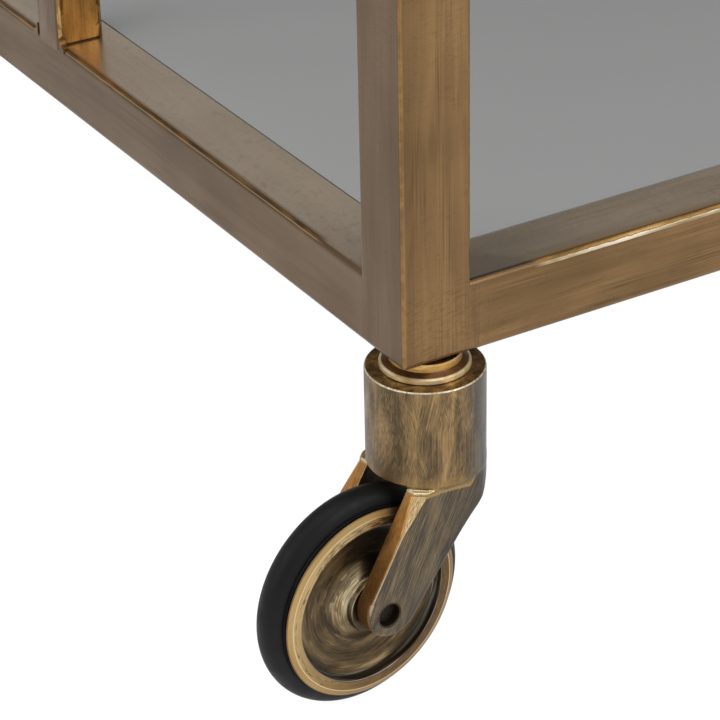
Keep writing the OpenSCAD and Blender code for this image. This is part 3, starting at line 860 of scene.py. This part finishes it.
def wheel_material():
    """Turned brass: dark strokes run round the hub in clusters, and the rim face is lighter, with painted
    highlights and painted shade.
    """
    made = Material("wheel_brass", roughness=0.34, metallic=0.9)
    times, between, less = made.times, made.between, made.less
    x, y, z = made.split(made.place())
    radius = made.math("SQRT", made.add(times(x, x), times(z, z)))
    across = made.math("DIVIDE", x, radius)
    upward = made.math("DIVIDE", z, radius)

    def round_hub(width_mm, turns, detail, shift, warp=0.0):
        """Noise in rings about width_mm wide, with more pieces in each ring for more turns."""
        ring = made.add(made.math("DIVIDE", radius, width_mm * MM), shift)
        height = made.add(times(upward, turns), shift)
        noise = made.node("ShaderNodeTexNoise", made.join(ring, times(across, turns), height))
        noise.inputs["Scale"].default_value = 1.0
        noise.inputs["Detail"].default_value = detail
        noise.inputs["Distortion"].default_value = warp
        return noise.outputs["Fac"]

    stroke = round_hub(0.36, 1.2, 2.0, 0.0, 0.1)
    speckle = round_hub(0.36, 9.0, 3.0, 7.0, 0.3)
    patch = round_hub(3.2, 1.7, 3.0, 3.0)
    tone = made.plus((patch, 0.5), (speckle, 0.1))
    upper = made.add(times(across, 0.75), times(upward, 0.66))

    # the dish: scored rings, bare flecks, and a painted highlight up to the hub on its upper side
    dish = made.ramp(tone, [(0.36, rgb(66, 54, 39)), (0.5, rgb(88, 72, 50)), (0.62, rgb(114, 95, 66))])
    hub = made.ramp(stroke, [(0.4, rgb(120, 98, 66)), (0.5, rgb(184, 160, 118)), (0.6, rgb(236, 220, 186))])
    scored = times(between(stroke, 0.5, 0.54), between(patch, 0.53, 0.45, 0.05, 0.9))
    bare = between(round_hub(0.45, 1.6, 2.0, 17.0), 0.57, 0.62, 0.0, 0.4)
    # painted highlight: bright brass by the hub on the upper side
    near_hub = between(radius, (HUB + 7.5) * MM, (HUB + 1.5) * MM)
    dish = made.mix(times(near_hub, between(upper, 0.45, 0.98, 0.1, 0.9)), dish, hub)
    off_hub = between(radius, (HUB + 1.5) * MM, (HUB + 3.5) * MM, 0.4, 0.9)
    dish = made.mix(times(scored, off_hub), dish, rgb(52, 44, 34))
    dish = made.mix(times(bare, between(patch, 0.48, 0.58)), dish, rgb(168, 145, 104))

    # the rim's face: painted lighter on its upper side, as light falls, and speckled dark inside its edge
    face = made.ramp(made.add(made.plus((patch, 0.3)), times(upper, 0.16)), [
        (0.36, rgb(104, 78, 46)), (0.5, rgb(146, 118, 76)), (0.62, rgb(180, 154, 108)),
    ])
    inner = between(radius, (BEVEL + 0.1) * MM, (BEVEL - 0.7) * MM)
    aft = between(across, 0.1, -0.7)
    worn = times(between(speckle, 0.47, 0.57), between(made.add(patch, times(aft, 0.15)), 0.4, 0.52))
    speckled = made.math("MAXIMUM", times(inner, 0.8), times(aft, 0.8))
    face = made.mix(times(worn, speckled), face, rgb(74, 62, 45))
    face = made.mix(times(less(inner), 0.35), face, rgb(170, 130, 74))
    colour = made.mix(between(radius, (LIP - 0.4) * MM, (LIP - 0.1) * MM), dish, face)

    # the wall under the lip streaked silver as a painted reflection, a painted highlight on the bevel's
    # edge, the rim's edge, painted shade on the hub's ends, and the channel's sides
    # painted reflection: silvery streaks on the wall under the lip
    wall = times(between(radius, (DISH - 0.8) * MM, (DISH - 0.1) * MM),
                 between(radius, (LIP - 0.2) * MM, (LIP - 0.4) * MM))
    wall_tone = made.ramp(stroke, [
        (0.42, rgb(70, 60, 47)), (0.5, rgb(104, 96, 82)), (0.58, rgb(168, 166, 158)),
    ])
    colour = made.mix(times(wall, 0.7), colour, wall_tone)
    # painted highlight along the bevel's edge
    rim = times(between(radius, (BEVEL - 0.3) * MM, (BEVEL - 0.15) * MM),
                between(radius, (BEVEL + 0.2) * MM, (BEVEL + 0.05) * MM))
    colour = made.mix(times(rim, 0.5), colour, rgb(236, 218, 176))
    colour = made.mix(between(radius, (RIM - 0.4) * MM, (RIM - 0.2) * MM, 0.0, 0.7), colour, rgb(92, 68, 40))
    # painted shade on the hub's end faces, between hub and arm
    hub_end = times(between(made.size(y), (HUB_HALF - 0.2) * MM, (HUB_HALF - 0.05) * MM),
                    between(radius, (HUB - 0.15) * MM, (HUB - 0.3) * MM))
    colour = made.mix(times(hub_end, 0.85), colour, rgb(54, 42, 28))
    flank = times(between(made.size(y), (RIM_HALF - 0.2) * MM, (RIM_HALF - 0.35) * MM),
                  between(radius, (RIM - 0.5) * MM, (RIM - 0.3) * MM))
    colour = made.mix(flank, colour, rgb(26, 22, 18))
    made.set("Base Color", colour)
    made.set("Roughness", between(tone, 0.35, 0.62, 0.44, 0.28))
    made.bump(stroke, 0.03, 0.4)
    return made


def tyre_material():
    made = Material("tyre", roughness=0.5, Specular_IOR_Level=0.2)
    place = made.place()
    dust = made.grain(place, (6, 6, 6), detail=4.0)
    pore = made.grain(place, (0.35, 0.35, 0.35), detail=2.0)
    made.set("Base Color", made.ramp(dust, [(0.3, rgb(8, 8, 9)), (0.75, rgb(14, 14, 14))]))
    made.set("Roughness", made.between(dust, 0.3, 0.7, 0.46, 0.6))
    made.bump(pore, 0.02, 0.25)
    return made


# ---- pieces that stand for CAD nodes ----

def add_casters():
    fork, wheel, tyre = fork_mesh(), wheel_mesh(), tyre_mesh()
    for mesh, material in ((fork, fork_material()), (wheel, wheel_material()), (tyre, tyre_material())):
        mesh.materials.append(material.data)
    for end, side in CORNERS:
        name = corner_name(end, side)
        swivel, heading, axle = caster_frame(end, side)
        turn = Matrix.Rotation(heading, 4, "Z")
        at_swivel = Matrix.Translation(swivel) @ turn
        at_axle = Matrix.Translation(axle) @ turn
        new_piece(f"{name}_fork_cast", fork, f"{name}_caster", f"{name}_fork", at_swivel)
        new_piece(f"{name}_wheel_turned", wheel, f"{name}_wheel", f"{name}_wheel", at_axle)
        new_piece(f"{name}_tyre_band", tyre, f"{name}_wheel", f"{name}_tyre", at_axle)


# ---- studio ----

def add_floor():
    reach = 30.0
    mesh = bpy.data.meshes.new("floor")
    corners = [(x * reach, y * reach, 0) for x, y in ((-1, -1), (1, -1), (1, 1), (-1, 1))]
    mesh.from_pydata(corners, [], [(0, 1, 2, 3)])
    made = Material("pale_floor", roughness=0.9, Specular_IOR_Level=0.0)
    haze = made.grain(made.place(), (300, 300, 300), detail=1.0)
    made.set("Base Color", made.ramp(haze, [(0.0, (0.2, 0.2, 0.2, 1)), (1.0, (0.22, 0.22, 0.22, 1))]))
    made.shader.inputs["Emission Color"].default_value = (1, 1, 1, 1)
    made.shader.inputs["Emission Strength"].default_value = 0.92
    mesh.materials.append(made.data)
    floor = bpy.data.objects.new("floor", mesh)
    bpy.context.scene.collection.objects.link(floor)


def add_light(name, place, target, size, power, tint=(1, 1, 1)):
    data = bpy.data.lights.new(name, "AREA")
    data.shape = "RECTANGLE"
    data.size, data.size_y = size
    data.energy = power
    data.color = tint
    lamp = bpy.data.objects.new(name, data)
    bpy.context.scene.collection.objects.link(lamp)
    lamp.location = place
    lamp.rotation_mode = "QUATERNION"
    lamp.rotation_quaternion = (Vector(target) - Vector(place)).to_track_quat("-Z", "Y")


def add_world():
    world = bpy.data.worlds.new("studio")
    bpy.context.scene.world = world
    world.use_nodes = True
    background = world.node_tree.nodes["Background"]
    background.inputs["Color"].default_value = (1.0, 1.0, 1.0, 1.0)
    background.inputs["Strength"].default_value = 0.62


def add_camera():
    """The camera stands off the near post's foot and looks down along the cart."""
    yaw, pitch, roll = (math.radians(a) for a in (30.54, 29.26, -1.29))
    foot = Vector((POST_LOW[0], POST_LOW[1], RAIL_Z))
    stand_off = Vector((-391.5, -636.7, 424.1))
    data = bpy.data.cameras.new("camera")
    data.sensor_width = 36.0
    data.lens = 136.8
    data.clip_start, data.clip_end = 0.05, 100.0
    camera = bpy.data.objects.new("camera", data)
    bpy.context.scene.collection.objects.link(camera)
    level = Matrix.Rotation(-yaw, 3, "Z")
    tipped = Matrix.Rotation(math.radians(90) - pitch, 3, "X")
    look = level @ tipped @ Matrix.Rotation(roll, 3, "Z")
    camera.matrix_world = Matrix.Translation((foot + stand_off) * MM) @ look.to_4x4()
    bpy.context.scene.camera = camera


def light_scene():
    middle = Vector((POST_LOW[0] * MM, POST_LOW[1] * MM, 0.1))
    add_light("key", middle + Vector((0.9, -1.6, 1.5)), middle, (1.2, 1.2), 18)
    add_light("fill", middle + Vector((-1.8, 0.2, 1.2)), middle, (1.4, 1.4), 11)
    add_light("top", (0, 0, 2.6), (0, 0, 0), (2.4, 1.6), 30)
    view = bpy.context.scene.view_settings
    view.view_transform = "Standard"
    view.look = "None"


dress_frame()
dress_shelves()
dress_small_parts()
add_casters()
add_floor()
add_world()
add_camera()
light_scene()
